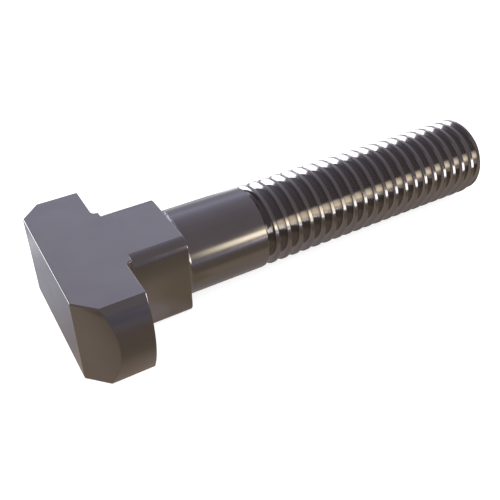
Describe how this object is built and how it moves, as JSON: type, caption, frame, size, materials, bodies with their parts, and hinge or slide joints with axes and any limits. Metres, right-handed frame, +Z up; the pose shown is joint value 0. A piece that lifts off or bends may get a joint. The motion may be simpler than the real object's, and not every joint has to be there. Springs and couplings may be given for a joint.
{
  "type": "t-bolt",
  "caption": "Hammer-head bolt with a square neck, a round shank and a threaded end; the head turns in a slot and grips under its lips.",
  "frame": {"origin": "On the lower flat side of the neck, midway across the bolt, level with the bearing plane under the head", "axes": "+X along the bolt from the head to the threaded end, Y along the hammer head, +Z up from the flat side that the bolt lies on"},
  "size_m": [0.0455, 0.018, 0.008],
  "materials": {
    "steel": "dark, smooth and evenly polished"
  },
  "bodies": {
    "root": {"t_bolt": "steel"}
  },
  "joints": []
}
